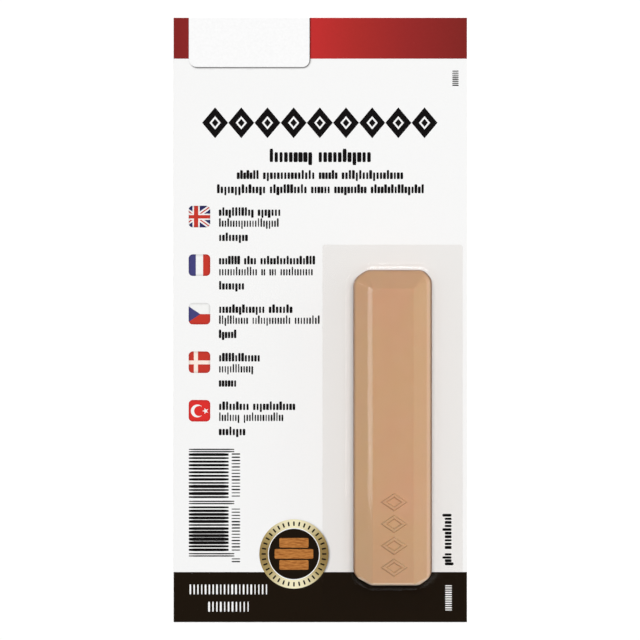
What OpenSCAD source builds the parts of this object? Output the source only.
// Furniture repair wax stick on a display card.
// A faceted stick of coloured wax and a flat plastic spatula lie on a printed board card.
// A clear thermoformed blister shuts them in, with its flange sealed flat to the card.
// The card lies on its back: X runs across it, Y runs up it and Z comes out of its front.
// The origin is the middle of the card's back face, and every length is in millimetres.

/* [Card] */
// Width of the card
card_w = 74.5; // [60:0.5:110]
// Height of the card
card_h = 153.5; // [120:0.5:220]
// Thickness of the board
card_t = 0.5; // [0.3:0.05:1.2]

/* [Wax stick] */
// Length of the stick at its back
stick_l = 80; // [60:0.5:95]
// Width of the stick at its back
stick_w = 20; // [16:0.5:30]
// Thickness of the stick
stick_t = 10; // [7:0.5:16]
// Width of the sloping facet round the front face, seen from the front
facet_run = 4.6; // [2:0.1:5.4]
// Width of that facet at the stick's foot, where it is steep
foot_facet_run = 0.4; // [0.3:0.1:5.4]
// Drop of that facet from the front face to the side
facet_drop = 2.6; // [1:0.1:4]
// Clip of the top right corner, measured along the stick's end
cut_top_right = 2; // [1.5:0.1:5]
// Clip of the top left corner, measured along the stick's end
cut_top_left = 3.4; // [1.5:0.1:5]
// Clip of the lower left corner, measured along the stick's end
cut_foot_left = 4.4; // [1.5:0.1:5]
// Clip of the lower right corner, measured along the stick's end
cut_foot_right = 3.4; // [1.5:0.1:5]
// Clip of all four corners, measured along the stick's side
cut_side = 2.4; // [1.5:0.1:5]
// Lean of the sides that lets the casting leave its mould, in degrees
draft = 2; // [0.5:0.5:4]
// Radius of the worn edges round the facets
edge_r = 1; // [0.2:0.1:1.4]

/* [Blister] */
// Thickness of the clear film
film_t = 0.3; // [0.2:0.05:0.6]
// Clear gap between the stick and the film
stick_gap = 1.3; // [0.6:0.1:2]
// Flange beside the stick
flange_side = 7.8; // [4:0.1:12]
// Flange beyond each end of the stick
flange_end = 6.4; // [4:0.1:12]
// Clip on each corner of the flange
flange_corner = 0.4; // [0.2:0.1:3]
// Radius where the bubble rises from the flange
foot_r = 0.8; // [0.3:0.1:1.5]
// Strip of bare card between the flange and the card's right edge
flange_inset_right = 1.1; // [0.5:0.1:8]
// Strip of bare card between the flange and the card's bottom edge
flange_inset_bottom = 3.05; // [0.5:0.05:12]

/* [Spatula] */
// Thickness of the spatula, which lies between the stick and the card
spatula_t = 1.2; // [0.8:0.1:2]
// Loose gap between the spatula and the stick that lies over it
lay_gap = 0.1; // [0.05:0.05:0.5]
// How far the stick reaches past each end of the spatula
spatula_end_gap = 3; // [1:0.5:8]
// How far the stick reaches past each side of the spatula
spatula_side_gap = 2.5; // [1:0.25:4]
// Length of the thinned blade
blade_l = 14; // [6:0.5:24]
// Thickness left at the blade's edge
blade_edge_t = 0.4; // [0.2:0.05:0.7]
// Clip on each corner of the blade
blade_corner = 1.5; // [0.5:0.1:3]

/* [Hidden] */

// Flat steps in each rounded edge of a skinned solid
edge_steps = 3;
// Least share of the corner clip that is kept where a ring is drawn far in
least_clip_share = 0.05;

// The stick's middle on the card, set by the flange's place in the card's lower right corner
stick_x = card_w / 2 - flange_inset_right - flange_side - stick_w / 2;
stick_y = -card_h / 2 + flange_inset_bottom + flange_end + stick_l / 2;
// The stick's back, just clear of the spatula under it
stick_z = card_t + spatula_t + lay_gap;

// The stick's shoulder in section, as a point of [outward from the back edge, height]
side_h = stick_t - facet_drop;
shoulder = [-side_h * tan(draft), stick_z + side_h];

// Outward directions of the side and the front face in that section
side_normal = [cos(draft), sin(draft)];
front_normal = [0, 1];

// The spatula's plan
spatula_l = stick_l - 2 * spatula_end_gap;
spatula_w = stick_w - 2 * spatula_side_gap;

function unit(v) = v / norm(v);

// Shift of the corner between two faces, per millimetre that both faces grow outward.
function mitre(normal_a, normal_b) = (normal_a + normal_b) / (1 + normal_a * normal_b);

// Outward place of the stick's side, grown by grow, at height z.
function side_out(grow, z) = grow / cos(draft) - (z - stick_z) * tan(draft);

// Section of the stick grown evenly by grow: its shoulder, its crest and a point on the front.
// run is the width of the facet there.
function form_top(grow, run) =
    let (
        facet_normal = unit([facet_drop, run]),
        top = shoulder + [-run, facet_drop] + grow * mitre(facet_normal, front_normal)
    )
    [shoulder + grow * mitre(side_normal, facet_normal), top, top - [edge_r + grow, 0]];

// Arc of radius r in the corner b of a path that comes from a and goes on to c.
function corner_arc(a, b, c, r) =
    let (
        u = unit(a - b),
        v = unit(c - b),
        half = acos(u * v) / 2,
        centre = b + unit(u + v) * r / sin(half),
        start = b + u * r / tan(half) - centre,
        finish = b + v * r / tan(half) - centre
    )
    [for (i = [0:edge_steps])
        let (t = i / edge_steps)
        centre + r * unit(start * (1 - t) + finish * t)];

// A path with its inner corners rounded, each by its own radius.
function rounded(path, radii) = concat(
    [path[0]],
    [for (i = [1:len(path) - 2])
        each corner_arc(path[i - 1], path[i], path[i + 1], radii[i - 1])],
    [path[len(path) - 1]]
);

// Ring of eight points: a rectangle of half sizes a and b with clipped corners, at height z.
function clipped_ring(a, b, clip_a, clip_b, z) = [
    [a, b - clip_b, z], [a - clip_a, b, z],
    [clip_a - a, b, z], [-a, b - clip_b, z],
    [-a, clip_b - b, z], [clip_a - a, -b, z],
    [a - clip_a, -b, z], [a, clip_b - b, z]
];

// Clip of a corner along its end and its side, where those have moved outward by end and side.
// The clip's own face moves as the end does.
function clip(cut_end, end, side) =
    let (
        slope = [1 / cut_end, 1 / cut_side],
        share = 1 + slope * [side, end] - norm(slope) * end
    )
    max(least_clip_share, share) * [cut_end, cut_side];

// The stick's plan outline, moved outward to a section point p, and at its foot to a point q.
function stick_ring(p, q) =
    let (
        a = stick_w / 2 + p[0],
        top = stick_l / 2 + p[0],
        foot = -stick_l / 2 - q[0],
        top_right = clip(cut_top_right, p[0], p[0]),
        top_left = clip(cut_top_left, p[0], p[0]),
        foot_left = clip(cut_foot_left, q[0], p[0]),
        foot_right = clip(cut_foot_right, q[0], p[0])
    )
    [
        [a, top - top_right[1], p[1]], [a - top_right[0], top, p[1]],
        [top_left[0] - a, top, p[1]], [-a, top - top_left[1], p[1]],
        [-a, foot + foot_left[1], p[1]], [foot_left[0] - a, foot, q[1]],
        [a - foot_right[0], foot, q[1]], [a, foot + foot_right[1], p[1]]
    ];

// Rings for a section and for its counterpart at the foot.
function stick_rings(section, foot_section) =
    [for (i = [0:len(section) - 1]) stick_ring(section[i], foot_section[i])];

function flange_ring(z) = clipped_ring(
    stick_w / 2 + flange_side, stick_l / 2 + flange_end, flange_corner, flange_corner, z
);

// Closed solid stretched over a stack of rings that all have as many points.
module skin(rings) {
    n = len(rings[0]);
    last = (len(rings) - 1) * n;
    polyhedron(
        points = [for (ring = rings) each ring],
        faces = concat(
            [[for (j = [0:n - 1]) j]],
            [for (i = [0:n:last - n], j = [0:n - 1])
                let (k = (j + 1) % n)
                each [[i + j, i + n + j, i + n + k], [i + j, i + n + k, i + k]]],
            [[for (j = [n - 1:-1:0]) last + j]]
        )
    );
}

// Places its children with the stick's middle at their origin, at the height of z = 0.
module at_stick() {
    translate([stick_x, stick_y, 0]) children();
}

// The printed board, with square corners.
module backing_card() {
    color("white")
        translate([-card_w / 2, -card_h / 2, 0])
            cube([card_w, card_h, card_t]);
}

// Outline of the spatula: a round handle end up the card and a clipped blade end down it.
module spatula_plan() {
    half_w = spatula_w / 2;
    blade_y = -spatula_l / 2;
    handle_y = spatula_l / 2 - half_w;
    polygon([
        [blade_corner - half_w, blade_y], [half_w - blade_corner, blade_y],
        [half_w, blade_y + blade_corner], [half_w, handle_y],
        [-half_w, handle_y], [-half_w, blade_y + blade_corner]
    ]);
    translate([0, handle_y]) circle(r = half_w, $fn = 96);
}

// The spatula's side view, extruded across it: flat on the card, thinned to an edge at the blade.
module spatula_side() {
    rotate([90, 0, 90])
        linear_extrude(spatula_w, center = true)
            polygon([
                [-spatula_l / 2, 0], [spatula_l / 2, 0], [spatula_l / 2, spatula_t],
                [blade_l - spatula_l / 2, spatula_t], [-spatula_l / 2, blade_edge_t]
            ]);
}

module spatula() {
    color("ivory")
        at_stick()
            translate([0, 0, card_t])
                intersection() {
                    linear_extrude(spatula_t) spatula_plan();
                    spatula_side();
                }
}

// Section of the wax from its back edge up to its front.
function wax_face(run) = rounded(concat([[0, stick_z]], form_top(0, run)), [edge_r, edge_r]);

// The cast wax: drafted sides, a facet all round the front face and clipped corners.
module wax_stick() {
    color([0.78, 0.62, 0.48])
        at_stick() skin(stick_rings(wax_face(facet_run), wax_face(foot_facet_run)));
}

// Section of one face of the film, from the flange plane at height z up to the bubble's front.
// grow is that face's distance from the stick and foot is its radius at the flange.
function film_face(grow, z, foot, run) =
    let (
        bend = [side_out(grow, z), z],
        on_flange = bend + [2 * foot, 0],
        edge = edge_r + grow,
        path = rounded(concat([on_flange, bend], form_top(grow, run)), [foot, edge, edge])
    )
    [for (i = [1:len(path) - 1]) path[i]];

function reversed(list) = [for (i = [len(list) - 1:-1:0]) list[i]];

// Both faces of the film where the facet is as wide as run.
function inner_face(run) = film_face(stick_gap, card_t, foot_r + film_t, run);
function outer_face(run) = film_face(stick_gap + film_t, card_t + film_t, foot_r, run);

// One sheet of clear film: a flat flange and a bubble that follows the stick all round.
module clear_blister() {
    color([0.86, 0.9, 0.93, 0.35])
        at_stick()
            skin(concat(
                reversed(stick_rings(inner_face(facet_run), inner_face(foot_facet_run))),
                [flange_ring(card_t), flange_ring(card_t + film_t)],
                stick_rings(outer_face(facet_run), outer_face(foot_facet_run))
            ));
}

backing_card();
spatula();
wax_stick();
clear_blister();
